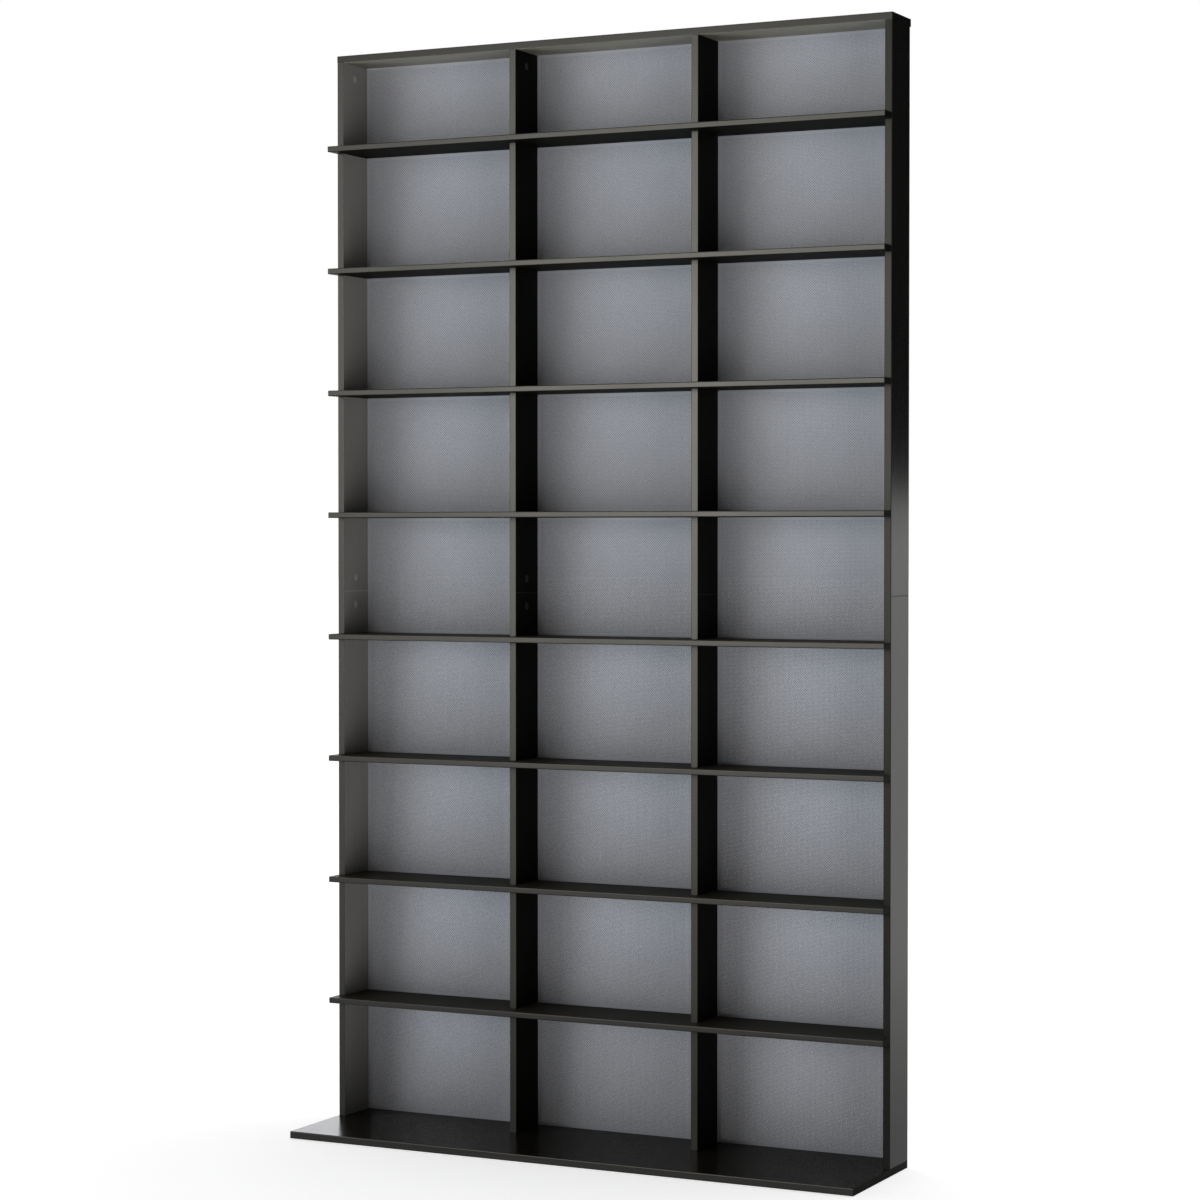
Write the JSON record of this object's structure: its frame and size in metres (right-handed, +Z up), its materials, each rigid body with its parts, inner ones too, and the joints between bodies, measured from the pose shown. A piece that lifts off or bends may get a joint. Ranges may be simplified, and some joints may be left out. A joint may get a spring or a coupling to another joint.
{
  "type": "media storage tower",
  "caption": "Tall open media tower: comb-shaped loose shelves slide out of grooved uprights on a base that runs far forward, with a perforated metal back behind every cell.",
  "frame": {"origin": "middle of the bounding box, on the floor", "axes": "+X to the viewer's right along the width, +Y to the metal back, +Z up"},
  "size_m": [1.003, 0.2396, 1.816],
  "materials": {
    "black_laminate": "satin black laminate",
    "perforated_metal": "satin silver",
    "zinc_hardware": "zinc plated",
    "beech": "raw wood"
  },
  "bodies": {
    "carcass": {"base_panel": "black_laminate", "top_panel": "black_laminate", "left_side_lower": "black_laminate", "left_side_upper": "black_laminate", "left_divider_lower": "black_laminate", "left_divider_upper": "black_laminate", "right_divider_lower": "black_laminate", "right_divider_upper": "black_laminate", "right_side_lower": "black_laminate", "right_side_upper": "black_laminate", "mesh_left_lower": "perforated_metal", "mesh_left_upper": "perforated_metal", "mesh_centre_lower": "perforated_metal", "mesh_centre_upper": "perforated_metal", "mesh_right_lower": "perforated_metal", "mesh_right_upper": "perforated_metal", "top_cam_locks": "zinc_hardware", "seam_cam_locks": "zinc_hardware", "top_cam_bolts": "zinc_hardware", "seam_cam_bolts": "zinc_hardware", "base_screws": "zinc_hardware", "top_dowels": "beech", "seam_dowels": "beech"},
    "shelf_1": {"shelf_1": "black_laminate"},
    "shelf_2": {"shelf_2": "black_laminate"},
    "shelf_3": {"shelf_3": "black_laminate"},
    "shelf_4": {"shelf_4": "black_laminate"},
    "shelf_5": {"shelf_5": "black_laminate"},
    "shelf_6": {"shelf_6": "black_laminate"},
    "shelf_7": {"shelf_7": "black_laminate"},
    "shelf_8": {"shelf_8": "black_laminate"}
  },
  "joints": [
    {"name": "shelf_1_slide", "type": "slide", "parent": "carcass", "child": "shelf_1", "axis": [0, -1, 0], "range_m": [0, 0.075]},
    {"name": "shelf_2_slide", "type": "slide", "parent": "carcass", "child": "shelf_2", "axis": [0, -1, 0], "range_m": [0, 0.075]},
    {"name": "shelf_3_slide", "type": "slide", "parent": "carcass", "child": "shelf_3", "axis": [0, -1, 0], "range_m": [0, 0.075]},
    {"name": "shelf_4_slide", "type": "slide", "parent": "carcass", "child": "shelf_4", "axis": [0, -1, 0], "range_m": [0, 0.075]},
    {"name": "shelf_5_slide", "type": "slide", "parent": "carcass", "child": "shelf_5", "axis": [0, -1, 0], "range_m": [0, 0.075]},
    {"name": "shelf_6_slide", "type": "slide", "parent": "carcass", "child": "shelf_6", "axis": [0, -1, 0], "range_m": [0, 0.075]},
    {"name": "shelf_7_slide", "type": "slide", "parent": "carcass", "child": "shelf_7", "axis": [0, -1, 0], "range_m": [0, 0.075]},
    {"name": "shelf_8_slide", "type": "slide", "parent": "carcass", "child": "shelf_8", "axis": [0, -1, 0], "range_m": [0, 0.075]}
  ]
}
